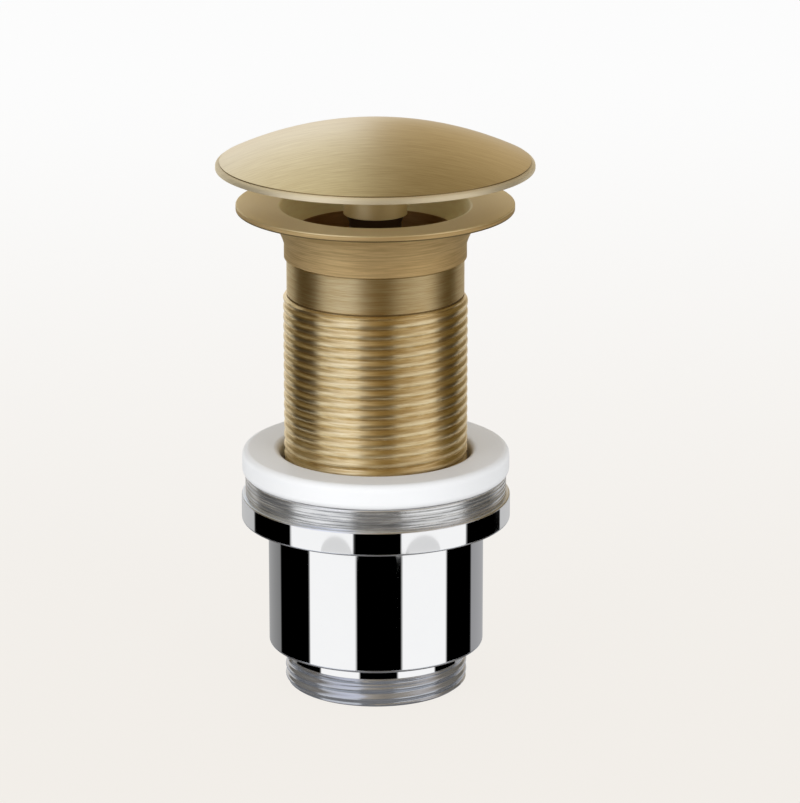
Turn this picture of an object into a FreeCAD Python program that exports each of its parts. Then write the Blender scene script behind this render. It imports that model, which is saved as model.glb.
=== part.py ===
"""Pop up basin waste: a brass flange and threaded tube, a push cartridge, a domed cap,
a basin washer and a chromed lower body, in millimetres.

The origin is the centre of the tail's lower end and +Z is the common axis, upwards.
Sizes are driven from one sheet. Heights are built up from the tail's end.
"""
import FreeCAD
import Part
import Sketcher
import math
import os

DRIVING_SIZES = [
    # lower body
    ("thread_dia", 41.91, "major diameter of the G 1 1/4 thread on the tail"),
    ("tail_length", 9.7, "threaded tail below the cup"),
    ("tail_bore_dia", 35.0, "waterway through the tail"),
    ("cup_dia", 49.4, "outside of the cup"),
    ("cup_length", 30.1, "cup between the tail and the clamping rim"),
    ("cup_wall", 2.2, "wall of the cup"),
    ("cup_floor", 3.8, "ledge between the cup and the tail"),
    ("cup_bevel", 0.8, "bevel round the foot of the cup"),
    ("tail_bevel", 0.6, "bevel on the tail's end"),
    ("clamp_dia", 61.6, "clamping rim"),
    ("clamp_thick", 5.5, "height of the clamping rim"),
    ("clamp_bevel", 0.6, "bevel on both edges of the clamping rim"),
    ("collar_dia", 59.8, "turned collar above the clamping rim"),
    ("collar_length", 4.8, "height of the turned collar"),
    ("collar_groove", 0.35, "depth of the turned grooves"),
    ("collar_groove_pitch", 1.3, "spacing of the turned grooves"),
    ("nut_thread_length", 10.1, "female thread, down from the collar's face"),
    # basin washer
    ("washer_dia", 61.2, "outside of the basin washer"),
    ("washer_room", 0.945, "room all round between the washer and the tube"),
    ("washer_thick", 5.9, "thickness of the basin washer"),
    ("washer_round", 1.5, "rounding of the washer's edges"),
    # flange body
    ("tube_stand", 37.0, "tube's lower end above the tail's end, as screwed together"),
    ("body_length", 76.5, "flange body, end to end"),
    ("flange_dia", 63.0, "basin flange"),
    ("flange_thick", 1.5, "basin flange"),
    ("flange_round", 0.6, "rounding of the flange's rim"),
    ("tube_wall", 2.955, "wall of the tube, to the crest of its G 1 1/4 thread"),
    ("neck_wall", 2.7, "wall of the plain neck under the flange"),
    ("neck_depth", 12.4, "flange face down to the step in the neck"),
    ("relief_wall", 2.15, "wall between the step in the neck and the thread"),
    ("thread_start", 21.3, "flange face down to the start of the thread"),
    ("flare_height", 7.6, "flare of the neck, down from the underside of the flange"),
    ("flare_reach", 5.0, "widening of the neck up to the flange"),
    ("flare_hollow", 14.3, "neck to the centre of the flare's hollow curve"),
    ("thread_pitch", 2.309, "pitch of the G 1 1/4 thread"),
    ("thread_groove", 1.6, "width of each groove between the thread's crests"),
    ("thread_depth", 0.8, "depth of each groove below the crests"),
    ("bore_dia", 36.0, "waterway through the tube"),
    ("seat_flare", 3.6, "widening of the conical seat, all round"),
    ("seat_depth", 6.0, "depth of the conical seat"),
    ("lip_round", 0.7, "rounding of the seat's mouth"),
    ("tube_bevel", 0.8, "bevel on the tube's lower end"),
    # spider and its fastening
    ("spider_depth", 54.5, "flange face down to the top of the hub"),
    ("spider_ring_wall", 1.4, "wall of the spider's ring"),
    ("spider_ring_length", 6.0, "height of the ring and the arms"),
    ("spider_arm", 3.0, "width of each arm"),
    ("arm_root", 1.5, "length of each arm inside the hub"),
    ("hub_dia", 13.0, "hub of the spider"),
    ("hub_length", 10.0, "height of the hub"),
    ("stud_dia", 8.0, "major diameter of both M8 studs"),
    ("stud_tip", 1.0, "stud showing below the nut"),
    ("stud_bevel", 0.8, "bevel on the ends of the studs"),
    ("lock_washer_dia", 15.0, "plain washer under the hub"),
    ("lock_washer_thick", 1.6, "plain washer under the hub"),
    ("nut_width", 13.0, "nut across its flats"),
    ("nut_height", 6.5, "nut under the washer"),
    ("nut_crown", 0.2, "bevel of the nut's corners inside its flats"),
    # cartridge
    ("plug_flange", 2.0, "rim of the end plug, under the housing"),
    ("plug_spigot", 4.0, "end plug inside the housing"),
    ("spring_pocket", 2.0, "depth of the pocket that seats the spring"),
    ("spring_room", 0.4, "room round the spring in its pocket"),
    ("housing_dia", 17.0, "outside of the cartridge housing"),
    ("housing_bore_dia", 14.0, "inside of the cartridge housing"),
    ("housing_length", 37.4, "cartridge housing"),
    ("rib_width", 4.4, "each of the four guide ribs in the housing"),
    ("rib_overlap", 0.8, "guide left on the plunger at the end of its stroke"),
    ("rib_root", 0.5, "rib inside the housing's wall"),
    ("bush_rim", 2.0, "rim of the guide bush, on the housing"),
    ("bush_spigot", 5.0, "guide bush inside the housing"),
    ("wiper_width", 1.45, "section of the wiper ring"),
    ("wiper_height", 1.4, "section of the wiper ring"),
    # plunger, rotor and spring
    ("rod_dia", 11.8, "plunger's rod"),
    ("head_dia", 13.5, "plunger's head"),
    ("head_taper", 2.5, "height of the head's taper"),
    ("foot_height", 3.0, "lugs that run between the guide ribs"),
    ("lug_width", 4.2, "each lug of the plunger and of the rotor"),
    ("lug_root", 1.5, "length of each lug inside its core"),
    ("spigot_dia", 5.0, "pin below the plunger that carries the rotor"),
    ("spigot_length", 11.2, "pin below the plunger that carries the rotor"),
    ("pin_root", 2.0, "length of the pin inside the plunger"),
    ("tooth_height", 0.8, "crown teeth of the plunger and the rotor"),
    ("tooth_land", 0.14, "half of the flat on each tooth, at the rod's surface"),
    ("rotor_dia", 11.4, "rotor"),
    ("rotor_length", 8.0, "rotor with its teeth"),
    ("spring_dia", 9.2, "outside of the spring"),
    ("spring_wire", 1.0, "wire of the spring"),
    ("spring_turns", 7.0, "turns of the spring"),
    ("stud_grip", 9.0, "length of the stud held in the plunger"),
    ("stud_reach", 9.5, "length of the stud inside the cap's boss"),
    # cap
    ("cap_dia", 72.0, "domed cap"),
    ("cap_lift", 8.1, "gap between the cap and the flange when open"),
    ("closed_gap", 0.4, "gap between the cap and the flange when closed"),
    ("rim_thick", 1.2, "cap's rim"),
    ("rim_width", 3.0, "flat ring under the cap's rim"),
    ("rim_round", 1.1, "rounding from the dome to the rim"),
    ("rim_edge", 0.3, "rounding of the rim's lower edge"),
    ("dome_rise", 8.5, "dome above its rim"),
    ("dome_thick", 1.8, "dome at its middle"),
    ("pad_dia", 19.0, "pad inside the dome that the boss is brazed to"),
    ("pad_height", 1.7, "pad inside the dome"),
    ("boss_dia", 14.4, "boss under the cap"),
    ("boss_drop", 10.2, "boss below the cap's rim"),
    ("boss_shoulder_dia", 18.0, "shoulder of the boss above the seal"),
    ("boss_bevel", 0.4, "bevel on the boss's foot"),
    ("boss_bore_room", 1.7, "room above the stud in the boss"),
    # seal
    ("seal_rise", 3.4, "seal's lower edge below the cap's rim"),
    ("seal_dia", 48.0, "flat lip of the rubber seal"),
    ("seal_lip_thick", 2.0, "flat lip of the rubber seal"),
    ("seal_wall", 1.3, "rubber round the disc's edge"),
    ("seal_gap", 0.1, "room between the closed seal and the flange"),
    ("seal_lip", 1.2, "grip of the seal over the disc's edge"),
    ("seal_round", 0.6, "rounding of the seal's upper edge"),
    ("disc_dia", 28.0, "disc that carries the seal"),
    ("disc_thick", 2.0, "disc that carries the seal"),
    ("disc_raise", 0.7, "disc above the seal's lower edge"),
    ("clip_dia", 17.4, "retaining clip on the boss"),
    ("clip_thick", 0.8, "retaining clip on the boss"),
    ("clip_groove", 0.6, "depth of the clip's groove"),
    ("clip_opening", 4.0, "opening of the retaining clip"),
    # fits
    ("run_fit", 0.05, "radial play of what turns or slides"),
    ("face_play", 0.05, "axial play of what turns against a face"),
    ("hole_play", 0.2, "radial play of the stud in its washer"),
    ("tooth_play", 0.2, "room between the crown teeth as they pass"),
    ("edge_play", 0.1, "play of the lugs against the housing"),
    ("cut_past", 1.0, "how far a cut runs past the surface it opens"),
]

DOC = FreeCAD.newDocument("pop_up_basin_waste")
SHEET = DOC.addObject("Spreadsheet::Sheet", "Sizes")
for row, (alias, value, note) in enumerate(DRIVING_SIZES, start=1):
    SHEET.set(f"A{row}", alias)
    SHEET.set(f"B{row}", str(value))
    SHEET.setAlias(f"B{row}", alias)
    SHEET.set(f"C{row}", note)
DOC.recompute()


def half(alias):
    """Expression for half of a named size."""
    return f"(Sizes.{alias} / 2)"


def size(alias):
    """Expression for a named size."""
    return f"Sizes.{alias}"


def total(*terms):
    """Expression for the sum of terms; a term that starts with a minus sign is taken off."""
    text = terms[0]
    for term in terms[1:]:
        text += f" - {term[1:]}" if term.startswith("-") else f" + {term}"
    return f"({text})"


def number(expression):
    """Value of an expression in millimetres."""
    return float(SHEET.evalExpression(expression))


# heights above the tail's end
Z_CUP = size("tail_length")
Z_CLAMP = total(Z_CUP, size("cup_length"))
Z_COLLAR = total(Z_CLAMP, size("clamp_thick"))
Z_COLLAR_TOP = total(Z_COLLAR, size("collar_length"))
Z_TUBE = size("tube_stand")
Z_FLANGE = total(Z_TUBE, size("body_length"))
Z_FLANGE_UNDER = total(Z_FLANGE, "-" + size("flange_thick"))
Z_FLARE = total(Z_FLANGE_UNDER, "-" + size("flare_height"))
Z_STEP = total(Z_FLANGE, "-" + size("neck_depth"))
Z_THREAD = total(Z_FLANGE, "-" + size("thread_start"))
Z_SEAT = total(Z_FLANGE, "-" + size("seat_depth"))
STROKE = total(size("cap_lift"), "-" + size("closed_gap"))

Z_HUB_TOP = total(Z_FLANGE, "-" + size("spider_depth"))
Z_HUB = total(Z_HUB_TOP, "-" + size("hub_length"))
Z_RING = total(Z_HUB, f"(Sizes.hub_length - Sizes.spider_ring_length) / 2")
Z_WASHER = total(Z_HUB, "-" + size("lock_washer_thick"))
Z_NUT = total(Z_WASHER, "-" + size("nut_height"))
Z_STUD_END = total(Z_NUT, "-" + size("stud_tip"))
Z_HOUSING = total(Z_HUB_TOP, size("plug_flange"))
Z_PLUG_TOP = total(Z_HOUSING, size("plug_spigot"))
Z_SPRING = total(Z_PLUG_TOP, "-" + size("spring_pocket"))
Z_BUSH = total(Z_HOUSING, size("housing_length"))
Z_BUSH_TOP = total(Z_BUSH, size("bush_rim"))
Z_BUSH_END = total(Z_BUSH, "-" + size("bush_spigot"))
Z_RIB = total(Z_BUSH_END, "-" + STROKE, "-" + size("rib_overlap"))
Z_FOOT_TOP = total(Z_BUSH_END, "-" + size("tooth_play"))
Z_FOOT = total(Z_FOOT_TOP, "-" + size("foot_height"))
Z_SPIGOT = total(Z_FOOT, "-" + size("spigot_length"))
Z_ROTOR_TOP = total(Z_FOOT, "-" + size("tooth_play"))
Z_ROTOR = total(Z_ROTOR_TOP, "-" + size("rotor_length"))

Z_RIM = total(Z_FLANGE, size("cap_lift"))
Z_RIM_TOP = total(Z_RIM, size("rim_thick"))
Z_APEX = total(Z_RIM_TOP, size("dome_rise"))
Z_INNER_APEX = total(Z_APEX, "-" + size("dome_thick"))
Z_PAD = total(Z_INNER_APEX, "-" + size("pad_height"))
Z_BOSS = total(Z_RIM, "-" + size("boss_drop"))
Z_HEAD = Z_BOSS
Z_SEAL = total(Z_RIM, "-" + size("seal_rise"), "-Sizes.disc_raise")
Z_DISC = total(Z_SEAL, size("disc_raise"))
Z_DISC_TOP = total(Z_DISC, size("disc_thick"))
Z_LIP = total(Z_FLANGE, STROKE, size("seal_gap"))
Z_CLIP = total(Z_DISC, "-" + size("face_play"), "-" + size("clip_thick"))


# radii that follow the waterway
R_BORE = half("bore_dia")
R_TUBE = total(R_BORE, size("tube_wall"))
R_NECK = total(R_BORE, size("neck_wall"))
R_RELIEF = total(R_BORE, size("relief_wall"))
R_SEAT = total(R_BORE, size("seat_flare"))
R_WASHER_HOLE = total(R_TUBE, size("washer_room"))
R_NUT = total(R_TUBE, size("run_fit"))
R_STUD_HOLE = total(half("stud_dia"), size("run_fit"))
PAST = size("cut_past")


def origin_plane(body, role):
    """One of a body's own origin planes."""
    return next(item for item in body.Origin.OriginFeatures if item.Role == role)


def new_sketch(body, name, role, lift=None, turn=0.0):
    """Sketch on an origin plane, lifted along its normal by an expression and turned."""
    sketch = body.newObject("Sketcher::SketchObject", name)
    sketch.AttachmentSupport = [(origin_plane(body, role), "")]
    sketch.MapMode = "FlatFace"
    if turn:
        sketch.AttachmentOffset = FreeCAD.Placement(
            FreeCAD.Vector(), FreeCAD.Rotation(FreeCAD.Vector(0, 0, 1), turn))
    if lift:
        sketch.setExpression("AttachmentOffset.Base.z", lift)
    return sketch


def pin_point(sketch, edge, end, point, tag):
    """Fixes the end of an edge at the two expressions of a point."""
    for axis, kind, expression, guide in (("x", "DistanceX", point[0], -2),
                                          ("y", "DistanceY", point[1], -1)):
        if expression == "0":
            sketch.addConstraint(Sketcher.Constraint("PointOnObject", edge, end, guide))
            continue
        index = sketch.addConstraint(
            Sketcher.Constraint(kind, -1, 1, edge, end, number(expression)))
        sketch.renameConstraint(index, f"{axis}{tag}")
        sketch.setExpression(f"Constraints.{axis}{tag}", expression)


def arc_between(start, end, centre_x):
    """Shorter arc about a centre at centre_x, and whether it runs from end to start."""
    middle = ((end[0] - centre_x) ** 2 + end[1] ** 2 - (start[0] - centre_x) ** 2
              - start[1] ** 2) / (2 * (end[1] - start[1]))
    radius = math.hypot(start[0] - centre_x, start[1] - middle)
    angles = [math.atan2(y - middle, x - centre_x) for x, y in (start, end)]
    sweep = (angles[1] - angles[0]) % (2 * math.pi)
    flipped = sweep > math.pi
    first = angles[1] if flipped else angles[0]
    turn = 2 * math.pi - sweep if flipped else sweep
    circle = Part.Circle(FreeCAD.Vector(centre_x, middle, 0), FreeCAD.Vector(0, 0, 1), radius)
    return Part.ArcOfCircle(circle, first, first + turn), flipped


def add_outline(sketch, points, arcs=None):
    """Closed outline through points given as pairs of expressions.

    arcs maps the number of an edge to the x of its centre, "0" being the vertical axis.
    """
    arcs = arcs or {}
    first = sketch.GeometryCount
    spots = [(number(x), number(y)) for x, y in points]
    count = len(points)
    flipped = []
    for index in range(count):
        start = spots[index]
        end = spots[(index + 1) % count]
        if index not in arcs:
            sketch.addGeometry(Part.LineSegment(
                FreeCAD.Vector(start[0], start[1], 0), FreeCAD.Vector(end[0], end[1], 0)))
            continue
        arc, backwards = arc_between(start, end, number(arcs[index]))
        sketch.addGeometry(arc)
        if backwards:
            flipped.append(index)
        if arcs[index] == "0":
            sketch.addConstraint(Sketcher.Constraint("PointOnObject", first + index, 3, -2))
        else:
            mark = sketch.addConstraint(Sketcher.Constraint(
                "DistanceX", -1, 1, first + index, 3, number(arcs[index])))
            sketch.renameConstraint(mark, f"centre_{index}")
            sketch.setExpression(f"Constraints.centre_{index}", arcs[index])
    for index in range(count):
        after = (index + 1) % count
        tail = 1 if index in flipped else 2
        head = 2 if after in flipped else 1
        sketch.addConstraint(
            Sketcher.Constraint("Coincident", first + index, tail, first + after, head))
    for index, point in enumerate(points):
        pin_point(sketch, first + index, 2 if index in flipped else 1, point, f"_{first}_{index}")


def add_circle(sketch, radius):
    """Circle about the sketch's origin with a radius given as an expression."""
    edge = sketch.addGeometry(Part.Circle(
        FreeCAD.Vector(), FreeCAD.Vector(0, 0, 1), number(radius)))
    sketch.addConstraint(Sketcher.Constraint("Coincident", edge, 3, -1, 1))
    index = sketch.addConstraint(Sketcher.Constraint("Radius", edge, number(radius)))
    sketch.renameConstraint(index, f"radius_{edge}")
    sketch.setExpression(f"Constraints.radius_{edge}", radius)


def new_body(name):
    """Empty body whose label names the piece."""
    body = DOC.addObject("PartDesign::Body", name)
    body.Label = name
    return body


def revolve(body, name, points, arcs=None):
    """Turned solid: a half section in the XZ plane, turned about Z."""
    sketch = new_sketch(body, f"{name}_section", "XZ_Plane")
    add_outline(sketch, points, arcs)
    feature = body.newObject("PartDesign::Revolution", name)
    feature.Profile = sketch
    feature.ReferenceAxis = (sketch, ["V_Axis"])
    feature.Angle = 360.0
    return feature


def groove(body, name, points):
    """Turned cut: a half section in the XZ plane, turned about Z."""
    sketch = new_sketch(body, f"{name}_section", "XZ_Plane")
    add_outline(sketch, points)
    feature = body.newObject("PartDesign::Groove", name)
    feature.Profile = sketch
    feature.ReferenceAxis = (sketch, ["V_Axis"])
    feature.Angle = 360.0
    return feature


def pad(body, name, sketch, length):
    """Pad of a sketch along its normal."""
    feature = body.newObject("PartDesign::Pad", name)
    feature.Profile = sketch
    feature.setExpression("Length", length)
    return feature


def polar(body, name, feature, sketch, count):
    """Even pattern of a feature about Z."""
    pattern = body.newObject("PartDesign::PolarPattern", name)
    pattern.Originals = [feature]
    pattern.Axis = (sketch, ["N_Axis"])
    pattern.Angle = 360.0
    pattern.Occurrences = count
    body.Tip = pattern
    return pattern


def rims(feature, radius, height):
    """Names of a feature's circular edges of one radius at one height."""
    DOC.recompute()
    names = []
    for index, edge in enumerate(feature.Shape.Edges, start=1):
        if edge.Degenerated or not isinstance(edge.Curve, Part.Circle):
            continue
        curve = edge.Curve
        level = curve.Center.z
        if abs(curve.Radius - number(radius)) < 1e-4 and abs(level - number(height)) < 1e-4:
            names.append(f"Edge{index}")
    if not names:
        raise RuntimeError(f"{feature.Name}: no rim at radius {radius}, height {height}")
    return names


def dress(body, name, kind, feature, edges, amount):
    """Fillet or chamfer of the rims given as pairs of radius and height."""
    names = [edge for radius, height in edges for edge in rims(feature, radius, height)]
    dressed = body.newObject(f"PartDesign::{kind}", name)
    dressed.Base = (feature, names)
    dressed.setExpression("Radius" if kind == "Fillet" else "Size", amount)
    return dressed


def ring(body, name, inner, outer, low, high):
    """Turned ring between two radii and two heights."""
    return revolve(body, name, [(inner, low), (outer, low), (outer, high), (inner, high)])


def build_flange_body():
    """Basin flange, neck and threaded tube, turned from one piece of brass."""
    body = new_body("flange_body")
    rim = half("flange_dia")
    turned = revolve(body, "body_turning", [
        (R_BORE, Z_TUBE), (R_TUBE, Z_TUBE), (R_TUBE, Z_THREAD), (R_RELIEF, Z_THREAD),
        (R_RELIEF, Z_STEP), (R_NECK, Z_STEP), (R_NECK, Z_FLARE),
        (total(R_NECK, size("flare_reach")), Z_FLANGE_UNDER),
        (rim, Z_FLANGE_UNDER), (rim, Z_FLANGE), (R_SEAT, Z_FLANGE), (R_BORE, Z_SEAT)],
        arcs={6: total(R_NECK, size("flare_hollow"))})
    rounded = dress(body, "flange_rim", "Fillet", turned,
                    [(rim, Z_FLANGE_UNDER), (rim, Z_FLANGE)], size("flange_round"))
    lip = dress(body, "seat_lip", "Fillet", rounded, [(R_SEAT, Z_FLANGE)], size("lip_round"))
    dress(body, "tube_lead", "Chamfer", lip, [(R_TUBE, Z_TUBE)], size("tube_bevel"))
    add_thread_rings(body)
    return body


def add_thread_rings(body):
    """Ring grooves at the thread's pitch, up the tube from its bevel to the plain relief."""
    width = half("thread_groove")
    level = total(Z_TUBE, size("tube_bevel"), size("thread_pitch"))
    room = f"({Z_THREAD} - {level} - Sizes.thread_pitch / 2)"
    cut = groove(body, "thread_groove_ring", [
        (total(R_TUBE, "-" + size("thread_depth")), level),
        (total(R_TUBE, PAST), total(level, "-" + crest_width(width))),
        (total(R_TUBE, PAST), total(level, crest_width(width)))])
    rings = body.newObject("PartDesign::LinearPattern", "thread_rings")
    rings.Originals = [cut]
    rings.Direction = (cut.Profile[0], ["V_Axis"])
    count = f"(floor({room} / Sizes.thread_pitch) + 1)"
    rings.setExpression("Occurrences", count)
    rings.setExpression("Length", f"({count} - 1) * Sizes.thread_pitch")
    body.Tip = rings


def crest_width(width):
    """Half width of a groove's cutting profile where it stands clear of the crests."""
    return f"({width} * (Sizes.thread_depth + {PAST}) / Sizes.thread_depth)"


def build_spider():
    """Four-armed cross pressed into the tube, with a hub that holds the cartridge."""
    body = new_body("spider")
    inner = total(R_BORE, "-" + size("spider_ring_wall"))
    top = total(Z_RING, size("spider_ring_length"))
    ring(body, "spider_ring", inner, R_BORE, Z_RING, top)
    sketch = new_sketch(body, "arm_outline", "XY_Plane", Z_RING, 45.0)
    side = half("spider_arm")
    root = total(half("hub_dia"), "-" + size("arm_root"))
    tip = total(R_BORE, "-(Sizes.spider_ring_wall / 2)")
    add_outline(sketch, [(root, "-" + side), (tip, "-" + side), (tip, side), (root, side)])
    arm = pad(body, "arm", sketch, size("spider_ring_length"))
    polar(body, "arms", arm, sketch, 4)
    hub_sketch = new_sketch(body, "hub_outline", "XY_Plane", Z_HUB)
    add_circle(hub_sketch, half("hub_dia"))
    pad(body, "hub", hub_sketch, size("hub_length"))
    low, high = total(Z_HUB, "-" + PAST), total(Z_HUB_TOP, PAST)
    groove(body, "hub_bore", [
        ("0", low), (R_STUD_HOLE, low), (R_STUD_HOLE, high), ("0", high)])
    return body


def build_end_plug():
    """Brass plug that closes the housing, seats the spring and carries the lower stud."""
    body = new_body("end_plug")
    rim, spigot, stud = half("housing_dia"), half("housing_bore_dia"), half("stud_dia")
    pocket = total(half("spring_dia"), size("spring_room"))
    turned = revolve(body, "plug_turning", [
        ("0", Z_STUD_END), (stud, Z_STUD_END), (stud, Z_HUB_TOP), (rim, Z_HUB_TOP),
        (rim, Z_HOUSING), (spigot, Z_HOUSING), (spigot, Z_PLUG_TOP), (pocket, Z_PLUG_TOP),
        (pocket, Z_SPRING), ("0", Z_SPRING)])
    dress(body, "stud_point", "Chamfer", turned, [(stud, Z_STUD_END)], size("stud_bevel"))
    return body


def build_lock_washer():
    """Plain washer between the hub and the nut."""
    body = new_body("lock_washer")
    ring(body, "washer_turning", total(half("stud_dia"), size("hole_play")),
         half("lock_washer_dia"), Z_WASHER, Z_HUB)
    return body


def build_lock_nut():
    """Hexagon nut on the lower stud."""
    body = new_body("lock_nut")
    sketch = new_sketch(body, "nut_outline", "XY_Plane", Z_NUT)
    corner = "(Sizes.nut_width / sqrt(3))"
    flat = half("nut_width")
    add_outline(sketch, [
        (corner, "0"), (f"({corner} / 2)", flat), (f"(-{corner} / 2)", flat),
        (f"(-{corner})", "0"), (f"(-{corner} / 2)", f"(-{flat})"),
        (f"({corner} / 2)", f"(-{flat})")])
    add_circle(sketch, R_STUD_HOLE)
    pad(body, "nut_pad", sketch, size("nut_height"))
    cut = total(flat, "-" + size("nut_crown"))
    out = total(corner, PAST)
    rise = total(Z_NUT, f"(({out} - {cut}) * tan(30deg))")
    low = total(Z_NUT, "-" + PAST)
    groove(body, "nut_corners", [(cut, Z_NUT), (out, rise), (out, low), (cut, low)])
    return body


def build_housing():
    """Cartridge housing with four guide ribs."""
    body = new_body("cartridge_housing")
    bore = half("housing_bore_dia")
    ring(body, "housing_turning", bore, half("housing_dia"), Z_HOUSING, Z_BUSH)
    sketch = new_sketch(body, "rib_outline", "XY_Plane", Z_RIB)
    side = half("rib_width")
    inside = total(half("rod_dia"), size("edge_play"))
    into = total(bore, size("rib_root"))
    add_outline(sketch, [(inside, f"(-{side})"), (into, f"(-{side})"), (into, side),
                         (inside, side)])
    rib = pad(body, "rib", sketch, total(Z_BUSH_END, "-" + Z_RIB))
    polar(body, "ribs", rib, sketch, 4)
    return body


def build_guide_bush():
    """Bush in the housing's mouth that guides the rod and stops the plunger."""
    body = new_body("guide_bush")
    bore = total(half("rod_dia"), size("run_fit"))
    seat = total(bore, size("wiper_width"))
    floor = total(Z_BUSH_TOP, "-" + size("wiper_height"))
    revolve(body, "bush_turning", [
        (bore, Z_BUSH_END), (half("housing_bore_dia"), Z_BUSH_END),
        (half("housing_bore_dia"), Z_BUSH), (half("housing_dia"), Z_BUSH),
        (half("housing_dia"), Z_BUSH_TOP), (seat, Z_BUSH_TOP), (seat, floor), (bore, floor)])
    return body


def build_wiper_ring():
    """Rubber ring that wipes the rod, in the mouth of the bush."""
    body = new_body("wiper_ring")
    bore = total(half("rod_dia"), size("run_fit"))
    ring(body, "wiper_turning", bore, total(bore, size("wiper_width")),
         total(Z_BUSH_TOP, "-" + size("wiper_height")), Z_BUSH_TOP)
    return body


def add_lugs(body, name, low, height, turn):
    """Four lugs on the outside of a turned core, between the guide ribs."""
    sketch = new_sketch(body, f"{name}_outline", "XY_Plane", low, turn)
    side = half("lug_width")
    corner = total(half("housing_bore_dia"), "-" + size("edge_play"))
    out = f"sqrt(pow({corner}; 2) - pow({side}; 2))"
    root = total(half("rotor_dia"), "-" + size("lug_root"))
    add_outline(sketch, [(root, f"(-{side})"), (out, f"(-{side})"), (out, side), (root, side)])
    lug = pad(body, name, sketch, height)
    return polar(body, f"{name}s", lug, sketch, 4)


def add_crown(body, name, level, sign):
    """Eight crown teeth: four V cuts right across the end face, evenly turned.

    level is the height of the tooth tips and sign is +1 where the valleys lie above them.
    """
    sketch = new_sketch(body, f"{name}_cut", "XZ_Plane")
    reach = half("rod_dia")
    half_pitch = total(f"{reach} * tan(22.5deg)", "-" + size("tooth_land"))
    valley = total(level, f"{'-' if sign < 0 else ''}{size('tooth_height')}")
    past = total(level, PAST if sign < 0 else "-" + PAST)
    add_outline(sketch, [("0", valley), (half_pitch, level), (half_pitch, past),
                         (f"(-{half_pitch})", past), (f"(-{half_pitch})", level)])
    cut = body.newObject("PartDesign::Pocket", name)
    cut.Profile = sketch
    cut.SideType = "Symmetric"
    cut.setExpression("Length", "Sizes.rod_dia * 2")
    pattern = body.newObject("PartDesign::PolarPattern", f"{name}_teeth")
    pattern.Originals = [cut]
    pattern.Axis = (sketch, ["V_Axis"])
    pattern.Angle = 180.0
    pattern.Occurrences = 5
    body.Tip = pattern
    return pattern


def build_plunger():
    """Plunger: tapered head, rod, lugs, crown teeth and the pin that carries the rotor."""
    body = new_body("plunger")
    rod, head, stud = half("rod_dia"), half("head_dia"), half("stud_dia")
    revolve(body, "plunger_turning", [
        ("0", Z_FOOT), (rod, Z_FOOT), (rod, total(Z_HEAD, "-" + size("head_taper"))),
        (head, Z_HEAD), (stud, Z_HEAD), (stud, total(Z_HEAD, "-" + size("stud_grip"))),
        ("0", total(Z_HEAD, "-" + size("stud_grip")))])
    add_lugs(body, "plunger_lug", Z_FOOT, size("foot_height"), 45.0)
    add_crown(body, "plunger_crown", Z_FOOT, 1)
    pin_sketch = new_sketch(body, "pin_outline", "XY_Plane", Z_SPIGOT)
    add_circle(pin_sketch, half("spigot_dia"))
    body.Tip = pad(body, "rotor_pin", pin_sketch,
                   total(size("spigot_length"), size("pin_root")))
    return body


def build_plunger_stud():
    """Threaded stud set in the plunger, on which the cap screws down."""
    body = new_body("plunger_stud")
    low = total(Z_HEAD, "-" + size("stud_grip"))
    high = total(Z_HEAD, size("stud_reach"))
    stud = half("stud_dia")
    turned = revolve(body, "stud_turning", [("0", low), (stud, low), (stud, high), ("0", high)])
    dress(body, "stud_ends", "Chamfer", turned, [(stud, high)], size("stud_bevel"))
    return body


def build_rotor():
    """Indexing rotor: crown teeth above, four lugs below, turning on the plunger's pin."""
    body = new_body("rotor")
    bore = total(half("spigot_dia"), size("run_fit"))
    ring(body, "rotor_turning", bore, half("rotor_dia"), Z_ROTOR, Z_ROTOR_TOP)
    height = total(Z_RIB, "-" + Z_ROTOR, "-" + size("tooth_play"))
    add_lugs(body, "rotor_lug", Z_ROTOR, height, 0.0)
    add_crown(body, "rotor_crown", Z_ROTOR_TOP, -1)
    return body


def build_spring():
    """Compression spring between the end plug and the rotor."""
    body = new_body("spring")
    sketch = new_sketch(body, "wire_section", "XZ_Plane")
    wire = half("spring_wire")
    across = total(half("spring_dia"), "-" + wire)
    start = total(Z_SPRING, wire)
    edge = sketch.addGeometry(Part.Circle(
        FreeCAD.Vector(number(across), number(start), 0), FreeCAD.Vector(0, 0, 1),
        number(wire)))
    pin_point(sketch, edge, 3, (across, start), "_wire")
    index = sketch.addConstraint(Sketcher.Constraint("Radius", edge, number(wire)))
    sketch.renameConstraint(index, "wire_radius")
    sketch.setExpression("Constraints.wire_radius", wire)
    coil = body.newObject("PartDesign::AdditiveHelix", "coil")
    coil.Profile = sketch
    coil.ReferenceAxis = (sketch, ["V_Axis"])
    coil.Mode = "height-turns-angle"
    rise = total(Z_ROTOR, "-" + Z_SPRING, "-" + size("spring_wire"))
    coil.setExpression("Height", rise)
    coil.setExpression("Turns", size("spring_turns"))
    return body


def build_cap():
    """Domed cap: a shell that thickens towards its rim, with a pad for the boss."""
    body = new_body("cap")
    rim, pad_edge = half("cap_dia"), half("pad_dia")
    inner = total(rim, "-" + size("rim_width"))
    sag = total(Z_INNER_APEX, "-" + Z_RIM)
    sphere = f"((pow({inner}; 2) + pow({sag}; 2)) / (2 * {sag}))"
    pad_top = f"({Z_INNER_APEX} - {sphere} + sqrt(pow({sphere}; 2) - pow({pad_edge}; 2)))"
    turned = revolve(body, "cap_turning", [
        ("0", Z_PAD), (pad_edge, Z_PAD), (pad_edge, pad_top), (inner, Z_RIM), (rim, Z_RIM),
        (rim, Z_RIM_TOP), ("0", Z_APEX)], arcs={2: "0", 5: "0"})
    shaped = dress(body, "cap_rim", "Fillet", turned, [(rim, Z_RIM_TOP)], size("rim_round"))
    dress(body, "cap_rim_edge", "Fillet", shaped, [(rim, Z_RIM)], size("rim_edge"))
    return body


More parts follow.
